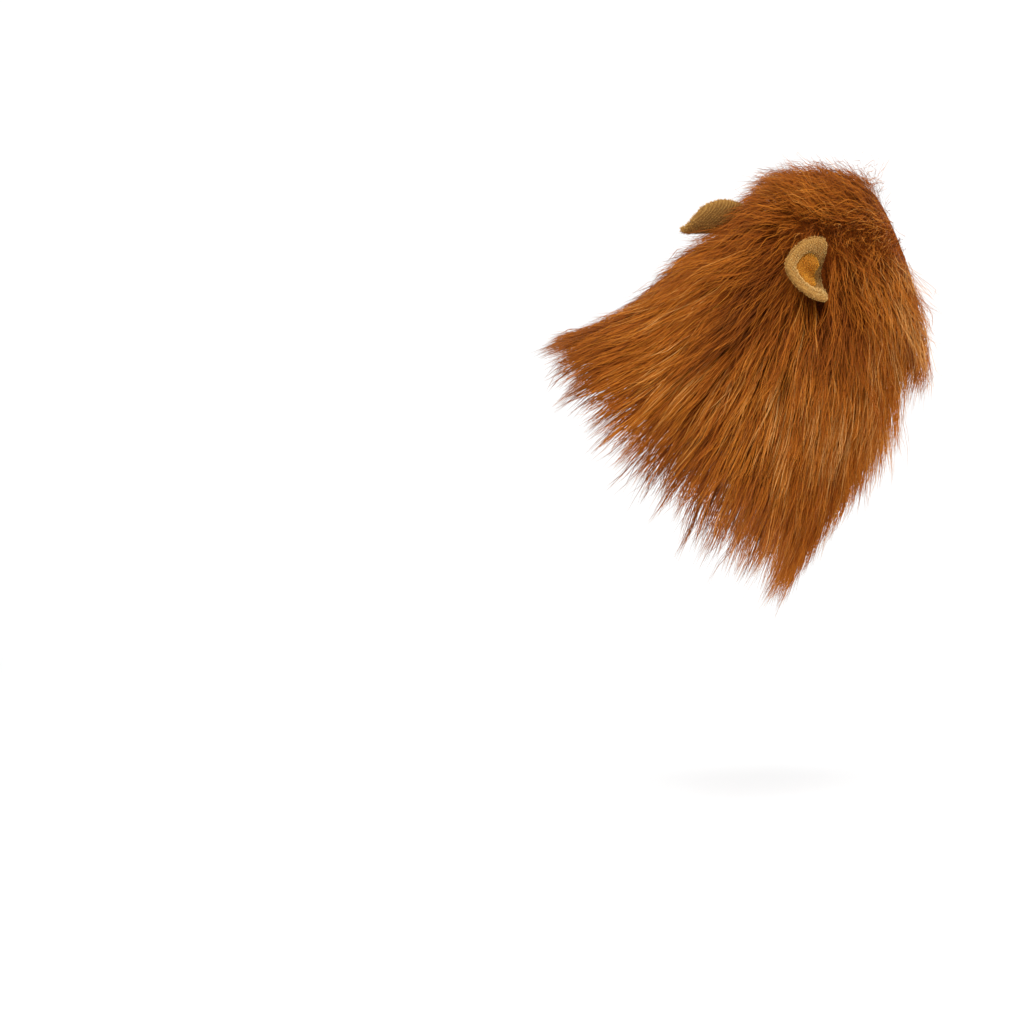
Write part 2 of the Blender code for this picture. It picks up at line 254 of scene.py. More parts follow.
def gathers(around, along, out):
    """How far the cloth stands in from its form between the puckers."""
    length = math.hypot(HOOD_LENGTH, HOOD_DROP) / GATHER_REACH
    near = np.exp(-np.maximum(along, 0) * length) + np.exp((np.minimum(along, 1) - 1) * length)
    return -GATHER_DEPTH * near * (0.5 + 0.5 * np.sin(GATHERS * around + 1.8 * np.sin(5 * around)))


class Wire:
    """One output of a node, which takes Python's operators and adds the Math nodes for them."""

    def __init__(self, tree, socket):
        self.tree, self.socket = tree, socket

    def math(self, operation, *values):
        wide = any(isinstance(v, Wire) and v.socket.type in ("VECTOR", "RGBA") for v in values)
        kind = "ShaderNodeVectorMath" if wide else "ShaderNodeMath"
        return self.tree.add(kind, {"operation": operation}, dict(enumerate(values)))

    def through(self, operation, *more):
        return self.math(operation, self, *more)

    def other(self, name):
        """Another output of the same node."""
        return Wire(self.tree, self.socket.node.outputs[name])

    def __add__(self, other):
        return self.math("ADD", self, other)

    def __radd__(self, other):
        return self.math("ADD", other, self)

    def __sub__(self, other):
        return self.math("SUBTRACT", self, other)

    def __rsub__(self, other):
        return self.math("SUBTRACT", other, self)

    def __mul__(self, other):
        return self.math("MULTIPLY", self, other)

    def __rmul__(self, other):
        return self.math("MULTIPLY", other, self)

    def __truediv__(self, other):
        return self.math("DIVIDE", self, other)

    def __pow__(self, other):
        return self.math("POWER", self, other)

    def __lt__(self, other):
        return self.math("LESS_THAN", self, other)

    def clamp(self):
        return self.through("MAXIMUM", 0.0).through("MINIMUM", 1.0)


class Tree:
    """A node tree, of a material or of Geometry Nodes."""

    def __init__(self, group):
        self.group = group

    def add(self, kind, settings=None, values=None, out=0):
        node = self.group.nodes.new(kind)
        for name, value in (settings or {}).items():
            if name == "stops":
                self.set_stops(node.color_ramp, value)
            else:
                setattr(node, name, value)
        for key, value in (values or {}).items():
            self.feed(self.pick(node.inputs, key), value)
        return Wire(self, self.pick(node.outputs, out)) if node.outputs else node

    def pick(self, sockets, key):
        live = [socket for socket in sockets if socket.enabled]
        return live[key] if isinstance(key, int) else next(s for s in live if s.name == key)

    def set_stops(self, ramp, stops):
        while len(ramp.elements) < len(stops):
            ramp.elements.new(0.5)
        for element, (place, colour) in zip(ramp.elements, stops):
            element.position = place
            element.color = (*colour, 1)

    def feed(self, socket, value):
        if isinstance(value, Wire):
            self.group.links.new(value.socket, socket)
        elif socket.type in ("VECTOR", "RGBA") and isinstance(value, (int, float)):
            socket.default_value = [value] * len(socket.default_value)
        elif socket.type == "RGBA":
            socket.default_value = (*value[:3], 1)
        else:
            socket.default_value = value

    def grain(self, place, scale, detail=2.0):
        """Noise from 0 to 1 over distances of 1 / scale."""
        return self.add("ShaderNodeTexNoise", {}, {"Vector": place, "Scale": scale, "Detail": detail})

    def mix(self, share, first, second):
        return self.add("ShaderNodeMix", {"data_type": "RGBA"}, {"Factor": share, "A": first, "B": second})


def finish_of(name, roughness, shine, tint=(1.0, 1.0, 1.0)):
    """A new material, as its node tree and its shader, with what is the same all over it."""
    made = bpy.data.materials.new(name)
    made.use_nodes = True
    shader = made.node_tree.nodes["Principled BSDF"]
    shader.inputs["Roughness"].default_value = roughness
    shader.inputs["Specular IOR Level"].default_value = shine
    shader.inputs["Specular Tint"].default_value = (*tint, 1)
    return made, Tree(made.node_tree), shader


def knit_finish(name, thread, shadow):
    """Plain knit, whose stitches lie in columns of small chevrons."""
    made, tree, shader = finish_of(name, 0.9, 0.15)
    weave = tree.add("ShaderNodeUVMap", {"uv_map": "weave"})
    place = tree.add("ShaderNodeSeparateXYZ", {}, {"Vector": weave})
    leg = ((place / KNIT).through("FRACT") - 0.5).through("ABSOLUTE") * 2.0
    course = place.other("Y") / (KNIT * 0.8) + leg * 0.5
    loop = ((course * math.tau).through("SINE") * 0.5 + 0.5) * (1.0 - leg ** 4.0)
    patchy = tree.grain(tree.add("ShaderNodeTexCoord", out="Object"), 60.0)
    colour = tree.mix(loop * 0.8 + patchy * 0.3, shadow, thread)
    tree.feed(shader.inputs["Base Color"], colour)
    bump = {"Strength": 0.7, "Distance": 0.0005, "Height": loop}
    tree.feed(shader.inputs["Normal"], tree.add("ShaderNodeBump", {}, bump))
    return made


backing_knit = knit_finish("backing_knit", KNIT_THREAD, KNIT_SHADOW)
cloth_rows = np.linspace(0, 1, CLOTH_ROWS)
section = [(-CLOTH_EDGE, -WALL / 2)]
section += [(along, 0.0) for along in cloth_rows]
section += [(1 + CLOTH_EDGE, -WALL / 2)]
section += [(along, -WALL) for along in reversed(cloth_rows)]
hood_cloth = tube("hood_cloth", section, CLOTH_COLUMNS, gathers, backing_knit)
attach(hood_cloth, "root")
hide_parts("hood_backing")

# Each end of the hood is a hem, where the cloth's edge is turned in over an elastic and sewn down. The folded
# bands lie inside the hood, puckered with it, and a zigzag of thread holds their inner edges.
HEM_BAND = 0.014
HEM_THICKNESS = 0.0040
HEM_GAP = 0.0002
HEM_POINTS = 12
HEM_SQUARE = 0.55
STITCH_PITCH = 0.0042
STITCH_LENGTH = 0.0048
STITCH_THICKNESS = 0.0009
STITCH_SLANT = 0.8
THREAD = (0.17, 0.075, 0.022)
SCRATCH = (
    "form loft length tousle frizz shade fullness reach part id pull girth lift root lean sheet front "
    "run rise aside"
).split()


class GrowTree(Tree):
    """A Geometry Nodes tree with named inputs, and the few steps that every tree here takes."""

    KINDS = {
        "OBJECT": "NodeSocketObject",
        "INT": "NodeSocketInt",
        "FLOAT": "NodeSocketFloat",
        "MATERIAL": "NodeSocketMaterial",
    }

    def __init__(self, name, inputs):
        super().__init__(bpy.data.node_groups.new(name, "GeometryNodeTree"))
        face = self.group.interface
        face.new_socket("Geometry", in_out="INPUT", socket_type="NodeSocketGeometry")
        for label, kind in inputs:
            face.new_socket(label, in_out="INPUT", socket_type=self.KINDS[kind])
        face.new_socket("Geometry", in_out="OUTPUT", socket_type="NodeSocketGeometry")
        self.inputs = self.add("NodeGroupInput")

    def given(self, name):
        return self.inputs.other(name)

    def named(self, name, kind="FLOAT"):
        return self.add("GeometryNodeInputNamedAttribute", {"data_type": kind}, {"Name": name})

    def vector(self, name):
        return self.named(name, "FLOAT_VECTOR")

    def keep(self, geometry, name, value, kind="FLOAT", domain="POINT"):
        settings = {"data_type": kind, "domain": domain}
        values = {"Geometry": geometry, "Name": name, "Value": value}
        return self.add("GeometryNodeStoreNamedAttribute", settings, values)

    def chance(self, low, high, seed, kind="FLOAT"):
        values = {"Min": low, "Max": high, "Seed": seed}
        return self.add("FunctionNodeRandomValue", {"data_type": kind}, values)

    def scatter(self, density, seed):
        values = {"Mesh": self.given("Geometry"), "Density": density, "Seed": seed}
        return self.add("GeometryNodeDistributePointsOnFaces", {"distribute_method": "RANDOM"}, values)

    def drop(self, geometry, selection):
        values = {"Geometry": geometry, "Selection": selection}
        return self.add("GeometryNodeDeleteGeometry", {"domain": "POINT"}, values)

    def drift(self, place, scale):
        """Smooth noise from -0.5 to 0.5 each way, over distances of 1 / scale."""
        values = {"Vector": place, "Scale": scale, "Detail": 1.0}
        return self.add("ShaderNodeTexNoise", {"noise_dimensions": "3D"}, values, "Color") - 0.5

    def grow(self, geometry, model):
        """Copies of the model on the points, as one mesh, and the model's own form at each of its corners."""
        one = self.add("GeometryNodeObjectInfo", {}, {"Object": model}, "Geometry")
        copies = self.add("GeometryNodeInstanceOnPoints", {}, {"Points": geometry, "Instance": one})
        form = self.add("ShaderNodeSeparateXYZ", {}, {"Vector": self.vector("form")})
        return self.add("GeometryNodeRealizeInstances", {}, {"Geometry": copies}), form

    def close(self, geometry, place):
        """Moves the copies' points to their place, and gives them the material."""
        geometry = self.add("GeometryNodeSetPosition", {}, {"Geometry": geometry, "Position": place})
        values = {"Geometry": geometry, "Material": self.given("Material")}
        geometry = self.add("GeometryNodeSetMaterial", {}, values)
        end = self.group.nodes.new("NodeGroupOutput")
        self.feed(end.inputs["Geometry"], geometry)


def set_attribute(mesh, name, values, kind="FLOAT", domain="POINT"):
    layer = mesh.attributes.new(name, kind, domain)
    field = "vector" if kind in ("FLOAT_VECTOR", "FLOAT2") else "value"
    layer.data.foreach_set(field, np.asarray(values, int if kind == "INT" else np.float32).ravel())


def grown(name, tree, base, inputs):
    """The tree's result on the base mesh, as an object with a plain mesh."""
    holder = put(name + "_maker", base)
    maker = holder.modifiers.new("grow", "NODES")
    maker.node_group = tree.group
    for item in tree.group.interface.items_tree:
        if item.item_type == "SOCKET" and item.name in inputs:
            maker[item.identifier] = inputs[item.name]
    holder.update_tag()
    graph = bpy.context.evaluated_depsgraph_get()
    mesh = bpy.data.meshes.new_from_object(
        holder.evaluated_get(graph), preserve_all_data_layers=True, depsgraph=graph
    )
    holder.modifiers.remove(maker)
    bpy.data.objects.remove(holder)
    for layer in list(mesh.attributes):
        if layer.name.split("_")[0] in ("flow", *SCRATCH):
            mesh.attributes.remove(layer)
    mesh.name = name
    mesh.shade_smooth()
    return put(name, mesh)


def pin(name, sides, rings, last=None):
    """A hidden model with its form kept at each point: rows of (share along it, thickness), closed at both ends."""
    form = [
        (width * math.cos(math.tau * k / sides), width * math.sin(math.tau * k / sides), share)
        for share, width in rings
        for k in range(sides)
    ]
    faces = tube_faces(len(rings), sides, False) + [tuple(range(sides))[::-1]]
    end = sides * (len(rings) - 1)
    if last is None:
        faces.append(tuple(end + k for k in range(sides)))
    else:
        form.append((0.0, 0.0, last))
        faces += [(end + k, end + (k + 1) % sides, end + sides) for k in range(sides)]
    mesh = bpy.data.meshes.new(name)
    mesh.from_pydata(form, [], faces)
    set_attribute(mesh, "form", form, "FLOAT_VECTOR")
    made = put(name, mesh)
    made.hide_render = True
    return made


def unit(vectors):
    return vectors / np.maximum(np.linalg.norm(vectors, axis=-1, keepdims=True), 1e-9)


def dot(first, second):
    return (first * second).sum(-1, keepdims=True)


NUDGE = 0.01


def outward(around, along):
    """The unit normal of the hood, away from its hollow."""
    round_it = hood_point(around + NUDGE, along) - hood_point(around - NUDGE, along)
    along_it = hood_point(around, along + NUDGE) - hood_point(around, along - NUDGE)
    return unit(np.cross(along_it, round_it))


def stitch_places(along, out):
    """A mesh of bare points along a hem, with the ways along, out of and across each stitch."""
    turns = np.linspace(0, math.tau, 721)
    ring = hood_point(turns, np.full(len(turns), along), out)
    run = np.concatenate(([0], np.cumsum(np.linalg.norm(np.diff(ring, axis=0), axis=1))))
    count = int(run[-1] / STITCH_PITCH) // 2 * 2
    around = np.interp(np.arange(count) * run[-1] / count, run, turns)
    alongs = np.full(count, along)
    place = hood_point(around, alongs, out + gathers(around, alongs, out))
    normal = outward(around, alongs)
    ahead = unit(hood_point(around + NUDGE, alongs) - hood_point(around - NUDGE, alongs))
    slant = np.where(np.arange(count) % 2, STITCH_SLANT, -STITCH_SLANT)[:, None]
    course = unit(ahead + np.cross(normal, ahead) * slant)
    mesh = bpy.data.meshes.new("stitch_places")
    mesh.from_pydata(place.tolist(), [], [])
    set_attribute(mesh, "root", place, "FLOAT_VECTOR")
    set_attribute(mesh, "run", course, "FLOAT_VECTOR")
    set_attribute(mesh, "rise", normal, "FLOAT_VECTOR")
    set_attribute(mesh, "aside", np.cross(normal, course), "FLOAT_VECTOR")
    return mesh


def stitch_tree():
    tree = GrowTree("hem_stitching", (
        ("Stitch", "OBJECT"),
        ("Length", "FLOAT"),
        ("Thickness", "FLOAT"),
        ("Material", "MATERIAL"),
    ))
    sewn, form = tree.grow(tree.given("Geometry"), tree.given("Stitch"))
    place = tree.vector("root") + tree.vector("run") * ((form.other("Z") - 0.5) * tree.given("Length"))
    thick = tree.given("Thickness") / 2.0
    place = place + tree.vector("aside") * (form * thick) + tree.vector("rise") * (form.other("Y") * thick)
    tree.close(sewn, place)
    return tree


thread_finish, tree, shader = finish_of("thread_finish", 0.6, 0.3)
twist = tree.grain(tree.add("ShaderNodeTexCoord", out="Object"), 2500.0)
tree.feed(shader.inputs["Base Color"], tree.mix(twist, tuple(c * 0.4 for c in THREAD), THREAD))
band = HEM_BAND / math.hypot(HOOD_LENGTH, HOOD_DROP)
middle = -(WALL + HEM_GAP + HEM_THICKNESS) / 2
half = (HEM_THICKNESS - WALL - HEM_GAP) / 2
stitch = pin("stitch", 5, ((0.0, 0.4), (0.15, 0.9), (0.85, 0.9), (1.0, 0.4)))
stitching = stitch_tree()
for name, centre, edge in (("face_hem", band / 2, band), ("neck_hem", 1 - band / 2, 1 - band)):
    section = []
    for k in range(HEM_POINTS):
        turn = math.tau * (k + 0.5) / HEM_POINTS
        reach, lift = (math.copysign(abs(f(turn)) ** HEM_SQUARE, f(turn)) for f in (math.cos, math.sin))
        section.append((centre + reach * band / 2, middle + lift * half))
    hem = tube(name, section, CLOTH_COLUMNS, gathers, backing_knit)
    sewing = grown(name + "_stitches", stitching, stitch_places(edge, -HEM_THICKNESS), {
        "Stitch": stitch,
        "Length": STITCH_LENGTH,
        "Thickness": STITCH_THICKNESS,
        "Material": thread_finish,
    })
    for piece in (hem, sewing):
        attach(piece, "root")
        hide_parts("hood_backing")
bpy.data.objects.remove(stitch)
hood_girth = run_of(hood_point(np.linspace(0, math.tau, 361), np.ones(361)))
hood_run = max(
    run_of(hood_point(np.full(41, turn), np.linspace(0, 1, 41)))
    for turn in (0, math.pi / 2, math.pi)
)

# The mane is the cloth's own pile, about 110 mm long. It radiates from between the ears, is combed back from the
# face and falls round the neck in wisps. Each wisp is a bundle of separate hairs that taper to a point, and a
# dense short undercoat fills the space between their roots.
GAP = 0.0003
UNDERCOAT = 0.0055
UNDERCOAT_EDGE = 0.0022
UNDERCOAT_COLUMNS = 120
UNDERCOAT_ROWS = 30
ROOT_LAYER = 0.010
LOCK_LENGTH = 0.118
OVER_LENGTH = 1.20
FUR_LOFT = 0.050
LOFT_POWER = 0.7
WHORL_ALONG = 0.40
WHORL_RISE = 0.35
FALL = 0.22
COMB_BACK = 0.18
TOP_COMB = 0.55
FORWARD_COMB = 0.65
FACE_COMB = 0.45
FACE_FRINGE = 0.25
FRINGE_BELOW = 0.60
LEAST_PULL = 0.6
STIFFNESS = 0.6
LENGTHS = (
    (0.000, 0.26, 0.74, 3.40),
    (0.030, 0.38, 0.80, 2.60),
    (0.130, 0.48, 0.86, 1.90),
    (0.260, 0.54, 0.90, 1.50),
    (0.400, 0.74, 0.92, 0.80),
    (0.550, 0.94, 0.94, 0.30),
    (0.720, 1.00, 1.00, 0.18),
    (0.860, 0.94, 1.14, 0.14),
    (0.970, 0.94, 1.22, 0.14),
)
LOFTS = (
    (0.00, 0.36, 0.76, 2.00),
    (0.20, 0.78, 0.96, 1.70),
    (0.45, 0.56, 1.00, 1.40),
    (0.75, 0.40, 0.90, 0.90),
    (1.10, 0.24, 0.66, 0.40),
)
PILE_COLUMNS = 120
PILE_ROWS = 60
COMB_STEPS = 6
HAIRS = 25500
WISPS = 2300
TUFTS = 190
HAIR_THICKNESS = 0.00074
TONES = 48
MANE_PARTS = ("mane_crown", "mane_nape", "mane_right_side", "mane_left_side", "mane_chest")
CROWN_ALONG = 0.46
TOP_HALF = math.radians(62)
CHEST_HALF = math.radians(52)
RECESS = (math.radians(67), 0.48)
RECESS_REACH = 0.030
EAR_FOOT = 0.010


def underside(around):
    """0 at the top of the hood, 1 at its underside."""
    return 0.5 - 0.5 * np.cos(around)


crown, temple = (hood_point(np.array(turn), np.array(WHORL_ALONG)) for turn in (0.0, math.pi / 2))
head_middle = np.array((0.0, temple[1], temple[2]))
whorl = head_middle + (crown - head_middle) * WHORL_RISE


def comb_direction(around, along):
    fringe = np.maximum(0, 1 - along / FACE_FRINGE) * (1 + (FRINGE_BELOW - 1) * underside(around))
    spread = unit(hood_point(around, along) - whorl)
    back = np.where(spread[..., 1] < 0, FORWARD_COMB, 1.0) * spread[..., 1]
    top = np.maximum(0, np.cos(around))
    spread[..., 1] = back + COMB_BACK + (TOP_COMB - COMB_BACK) * top + FACE_COMB * fringe
    spread[..., 2] -= FALL
    return spread


def surface_move(around, along, height, wanted):
    """The changes in around and along that move a point at this height over the hood by wanted."""
    here = hood_point(around, along, height)
    per_turn = (hood_point(around + NUDGE, along, height) - here) / NUDGE
    per_along = (hood_point(around, along + NUDGE, height) - here) / NUDGE
    a, b, c = dot(per_turn, per_turn), dot(per_turn, per_along), dot(per_along, per_along)
    p, q = dot(per_turn, wanted), dot(per_along, wanted)
    scale = a * c - b * b
    return ((c * p - b * q) / scale)[..., 0], ((a * q - b * p) / scale)[..., 0]


def combed(around, along, length, loft):
    """For each hair, its place and the ways out of the hood and across the hair, at each step of the comb."""
    last = None
    steps = []
    for step in range(COMB_STEPS + 1):
        share = step / COMB_STEPS * OVER_LENGTH
        normal = outward(around, along)
        heading = comb_direction(around, along)
        if last is not None:
            heading = heading + (last - heading) * STIFFNESS
        heading = heading - normal * dot(heading, normal)
        heading = heading / np.maximum(np.linalg.norm(heading, axis=-1, keepdims=True), LEAST_PULL)
        last = heading
        height = ROOT_LAYER * min(step, 1) * 0.9 + loft * share ** LOFT_POWER
        place = hood_point(around, along, height)
        steps.append((place, normal, unit(np.cross(normal, heading))))
        stride = heading * (length * OVER_LENGTH / COMB_STEPS)[..., None]
        turn, advance = surface_move(around, along, height, stride)
        around, along = around + turn, along + advance
    return steps


def pile_cloth():
    """The cloth that the hairs are rooted in, which knows how the pile is combed at each of its points."""
    turns = np.arange(PILE_COLUMNS) * math.tau / PILE_COLUMNS
    rows = np.linspace(0.0, 1.0, PILE_ROWS)
    along, around = (grid.ravel() for grid in np.meshgrid(rows, turns, indexing="ij"))
    mesh = bpy.data.meshes.new("pile_cloth")
    mesh.from_pydata(hood_point(around, along).tolist(), [], tube_faces(PILE_ROWS, PILE_COLUMNS, False))
    rows_along, *columns = np.array(LENGTHS).T
    at_top, below_top, tousle = (np.interp(along, rows_along, column) for column in columns)
    below = underside(around)
    length = LOCK_LENGTH * (at_top + (below_top - at_top) * below)
    at_top, at_side, at_underside = np.moveaxis(spline(LOFTS, along), -1, 0)
    middle = np.where(np.cos(around) > 0, at_top, at_underside)
    loft = FUR_LOFT * (middle + (at_side - middle) * np.sin(around) ** 2)
    for step, (place, normal, across) in enumerate(combed(around, along, length, loft)):
        set_attribute(mesh, f"flow_{step}", place, "FLOAT_VECTOR")
        set_attribute(mesh, f"rise_{step}", normal, "FLOAT_VECTOR")
        set_attribute(mesh, f"aside_{step}", across, "FLOAT_VECTOR")
    short = np.clip(1 - (along - 0.22) / 0.34, 0, 1) * (1 - 0.85 * np.clip(2 * below - 0.7, 0, 1))
    from_recess = np.linalg.norm(hood_point(around, along) - hood_point(*map(np.array, RECESS)), axis=1)
    set_attribute(mesh, "loft", loft)
    set_attribute(mesh, "length", length)
    set_attribute(mesh, "girth", 0.85 + 0.40 * along)
    set_attribute(mesh, "frizz", short)
    set_attribute(mesh, "tousle", tousle * (1 - 0.9 * np.clip(1.4 * below - 0.3, 0, 1)))
    # Painted shade and light, taken off the hairs' tone: darker in the recess by the right ear and, on the lit
    # upper side, over the short crown and towards the back; lighter low on the sides near the face.
    lit = np.clip(1.5 - 2 * below, 0, 1)
    shade = 0.38 * np.exp(-((from_recess / RECESS_REACH) ** 2))
    shade = shade + lit * (0.33 * short + 0.50 * (along - 0.62))
    shade = shade - 0.12 * (1 - lit) * np.clip(1.6 - 2 * along, 0, 1)
    set_attribute(mesh, "shade", shade)
    set_attribute(mesh, "fullness", (LOCK_LENGTH / length) ** 0.6)
    corner = np.array([face.vertices[0] for face in mesh.polygons])
    centre = turns[corner % PILE_COLUMNS] + math.pi / PILE_COLUMNS
    from_top = np.abs((centre + math.pi) % math.tau - math.pi)
    top_part = np.where(rows[corner // PILE_COLUMNS] < CROWN_ALONG, 0, 1)
    part = np.where(from_top < TOP_HALF, top_part, np.where(centre < math.pi, 2, 3))
    part = np.where(from_top > math.pi - CHEST_HALF, 4, part)
    set_attribute(mesh, "part", part, "INT", "FACE")
    return mesh


def one_hair(name, rings):
    """A closed three-sided hair that ends in a point, with a map of its own for its colours."""
    made = pin(name, 3, rings, 1.0)
    shares = [vertex.co.z for vertex in made.data.vertices]
    layer = made.data.uv_layers.new(name="OFBake")
    for face in made.data.polygons:
        across = (0.0, 1.0, 1.0, 0.0) if face.loop_total == 4 else (0.0, 1.0, 0.5)
        for place, corner in enumerate(face.loop_indices):
            layer.data[corner].uv = (across[place], max(shares[face.vertices[place]], 0.01))
    return made


def map_tones(tree, hairs):
    """Gives each hair its own place in the colour map, by its tone and along its length."""
    column = tree.named("tone") * TONES - 0.5
    corner = tree.add("ShaderNodeSeparateXYZ", {}, {"Vector": tree.vector("OFBake")})
    across = (column + 0.1 + corner * 0.8) / TONES
    place = tree.add("ShaderNodeCombineXYZ", {}, {"X": across, "Y": corner.other("Y")})
    return tree.keep(hairs, "OFBake", place, "FLOAT2", "CORNER")


def keep_tone(tree, hairs, tone):
    """Rounds the tone to one of the colour map's columns."""
    column = (tone.clamp() * (TONES - 1)).through("FLOOR")
    return tree.keep(hairs, "tone", (column + 0.5) / TONES)


def mane_tree():
    tree = GrowTree("mane_pile", (
        ("Hair", "OBJECT"),
        ("Ears", "OBJECT"),
        ("Part", "INT"),
        ("Hair density", "FLOAT"),
        ("Wisp density", "FLOAT"),
        ("Tuft density", "FLOAT"),
        ("Thickness", "FLOAT"),
        ("Material", "MATERIAL"),
    ))
    steps = range(COMB_STEPS + 1)
    frizz = tree.named("frizz")
    tufts = tree.scatter(tree.given("Tuft density"), 11)
    wisps = tree.scatter(tree.given("Wisp density") * tree.named("fullness"), 12)
    to_tuft = tree.add("GeometryNodeSampleNearest", {"domain": "POINT"}, {"Geometry": tufts})
    turn = tree.chance(-1.0, 1.0, 13) * tree.named("tousle")
    lift = tree.chance(-0.40, 0.06, 14) + frizz * tree.chance(-0.40, 0.30, 19)
    own_noise = tree.chance(-1.0, 1.0, 15, "FLOAT_VECTOR")
    swing = {"rotation_type": "AXIS_ANGLE"}
    for step in steps:
        share = step / COMB_STEPS
        own = tree.vector(f"flow_{step}")
        settings = {"data_type": "FLOAT_VECTOR", "domain": "POINT"}
        values = {"Geometry": tufts, "Value": own, "Index": to_tuft}
        tuft = tree.add("GeometryNodeSampleIndex", settings, values)
        arm = own + (tuft - own) * ((1.0 - frizz) * (0.34 * share ** 2)) - tree.vector("flow_0")
        turned = {"Vector": arm, "Axis": tree.vector("rise_0"), "Angle": turn}
        place = tree.vector("flow_0") + tree.add("ShaderNodeVectorRotate", swing, turned)
        place = place + tree.vector(f"rise_{step}") * (lift * tree.named("loft") * share ** LOFT_POWER)
        place = place + tree.drift(own, 10.0) * (0.045 * share)
        place = place + tree.drift(own + own_noise, 17.0) * ((0.050 + 0.040 * frizz) * share)
        place = place + tree.drift(own + own_noise, 45.0) * ((0.022 + 0.036 * frizz) * share)
        wisps = tree.keep(wisps, f"bend_{step}", place, "FLOAT_VECTOR")
    wisps = tree.keep(wisps, "tone", tree.chance(0.0, 1.0, 16))
    wisps = tree.keep(wisps, "reach", tree.chance(0.80, 1.0, 17))
    wisps = tree.keep(wisps, "pull", tree.chance(0.35, 0.92, 18))

    hairs = tree.scatter(tree.given("Hair density") * tree.named("fullness"), 21)
    sides = {"A": tree.named("part", "INT"), "B": tree.given("Part")}
    wrong = tree.add("FunctionNodeCompare", {"data_type": "INT", "operation": "NOT_EQUAL"}, sides)
    hairs = tree.drop(hairs, wrong)
    to_wisp = tree.add("GeometryNodeSampleNearest", {"domain": "POINT"}, {"Geometry": wisps})

    def of_wisp(name, kind="FLOAT"):
        values = {"Geometry": wisps, "Value": tree.named(name, kind), "Index": to_wisp}
        return tree.add("GeometryNodeSampleIndex", {"data_type": kind, "domain": "POINT"}, values)

    stray = tree.chance(0.0, 1.0, 22) < 0.07
    pull = of_wisp("pull") * (1.0 - stray * 0.6) * (1.0 - frizz * 0.35)
    own_noise = tree.chance(-1.0, 1.0, 24, "FLOAT_VECTOR")
    hairs = tree.keep(hairs, "lift", tree.chance(0.50, 1.05, 23) + stray * frizz * 0.2)
    hairs = tree.keep(hairs, "root", tree.vector("flow_0"), "FLOAT_VECTOR")
    girth = tree.given("Thickness") / 2.0 * tree.named("girth") * tree.chance(0.55, 1.35, 27)
    hairs = tree.keep(hairs, "girth", girth)
    patch = tree.add("ShaderNodeSeparateXYZ", {}, {"Vector": tree.drift(tree.vector("flow_3"), 11.0)})
    # Painted shade: hairs with less lift, lower in the pile, get a darker tone, and the cloth's painted shade and
    # light is taken off it; the rest of the tone varies at random.
    tone = 0.36 * of_wisp("tone") + 0.40 * tree.chance(0.0, 1.0, 25) + 0.30 * tree.named("lift")
    hairs = keep_tone(tree, hairs, tone + patch * 0.6 - tree.named("shade") - 0.06)
    reach = of_wisp("reach") * (1.0 - 0.36 * tree.chance(0.0, 1.0, 26) ** 2.0)
    hairs = tree.keep(hairs, "reach", reach)
    turn = tree.chance(-0.5, 0.5, 28) * tree.named("tousle")
    wiggle = 0.026 + 0.024 * frizz + 0.036 * stray
    for step in steps:
        share = step / COMB_STEPS
        own = tree.vector(f"flow_{step}")
        turned = {"Vector": own - tree.vector("flow_0"), "Axis": tree.vector("rise_0"), "Angle": turn}
        place = tree.vector("root") + tree.add("ShaderNodeVectorRotate", swing, turned)
        place = place + (of_wisp(f"bend_{step}", "FLOAT_VECTOR") - place) * (pull * share ** 0.6)
        lifted = (tree.named("lift") - 1.0) * tree.named("loft") * (0.7 * share)
        place = place + tree.vector(f"rise_{step}") * lifted
        place = place + tree.drift(own + own_noise, 32.0) * (wiggle * share)
        place = place + tree.drift(own + own_noise, 90.0) * (0.012 * share ** 0.5)
        if step > 0:
            hairs = tree.keep(hairs, f"flow_{step}", place, "FLOAT_VECTOR")
    ears = tree.add("GeometryNodeObjectInfo", {}, {"Object": tree.given("Ears")}, "Geometry")

    def ray(start, heading, length):
        values = {"Target Geometry": ears, "Source Position": start, "Ray Direction": heading}
        return tree.add("GeometryNodeRaycast", {}, {**values, "Ray Length": length}, "Is Hit")

    reach = tree.named("reach") * (1.0 - ray(tree.vector("root"), tree.vector("rise_0"), EAR_FOOT))
    for step in range(COMB_STEPS):
        here, there = tree.vector(f"flow_{step}"), tree.vector(f"flow_{step + 1}")
        length = tree.add("ShaderNodeVectorMath", {"operation": "LENGTH"}, {0: there - here}, "Value")
        hit = ray(here, there - here, length)
        met = (hit.other("Hit Distance") / length + step) / COMB_STEPS * 0.94
        reach = reach.through("MINIMUM", met + (1.0 - hit) * 9.0)
    hairs = tree.keep(hairs, "reach", reach)
    hairs = tree.drop(hairs, tree.named("reach") < 0.12)

    mane, form = tree.grow(hairs, tree.given("Hair"))
    share = form.other("Z") * tree.named("reach") * COMB_STEPS
    place = tree.vector("flow_0")
    for step in range(COMB_STEPS):
        gone = (share - step).clamp()
        place = place + (tree.vector(f"flow_{step + 1}") - tree.vector(f"flow_{step}")) * gone
    middle = COMB_STEPS // 2
    round_it = tree.vector(f"aside_{middle}") * form + tree.vector(f"rise_{middle}") * form.other("Y")
    mane = tree.keep(mane, "along", form.other("Z"))
    tree.close(map_tones(tree, mane), place + round_it * tree.named("girth"))
    return tree


def hair_finish(name, tones, root, tip, roughness):
    """Hair whose colour runs over tones from dark to light, darker at the root as painted shade and paler at the
    tip.
    """
    made, tree, shader = finish_of(name, roughness, 0.3, (1.0, 0.66, 0.36))
    tone, along = (
        tree.add("ShaderNodeAttribute", {"attribute_name": kept}, {}, "Fac") for kept in ("tone", "along")
    )
    colour = tree.add("ShaderNodeValToRGB", {"stops": tones}, {0: tone})
    colour = tree.mix((1.0 - along) ** 2.0 * 0.80, colour, root)
    colour = tree.mix(along ** 3.0 * 0.35, colour, tip)
    tree.feed(shader.inputs["Base Color"], colour)
    return made


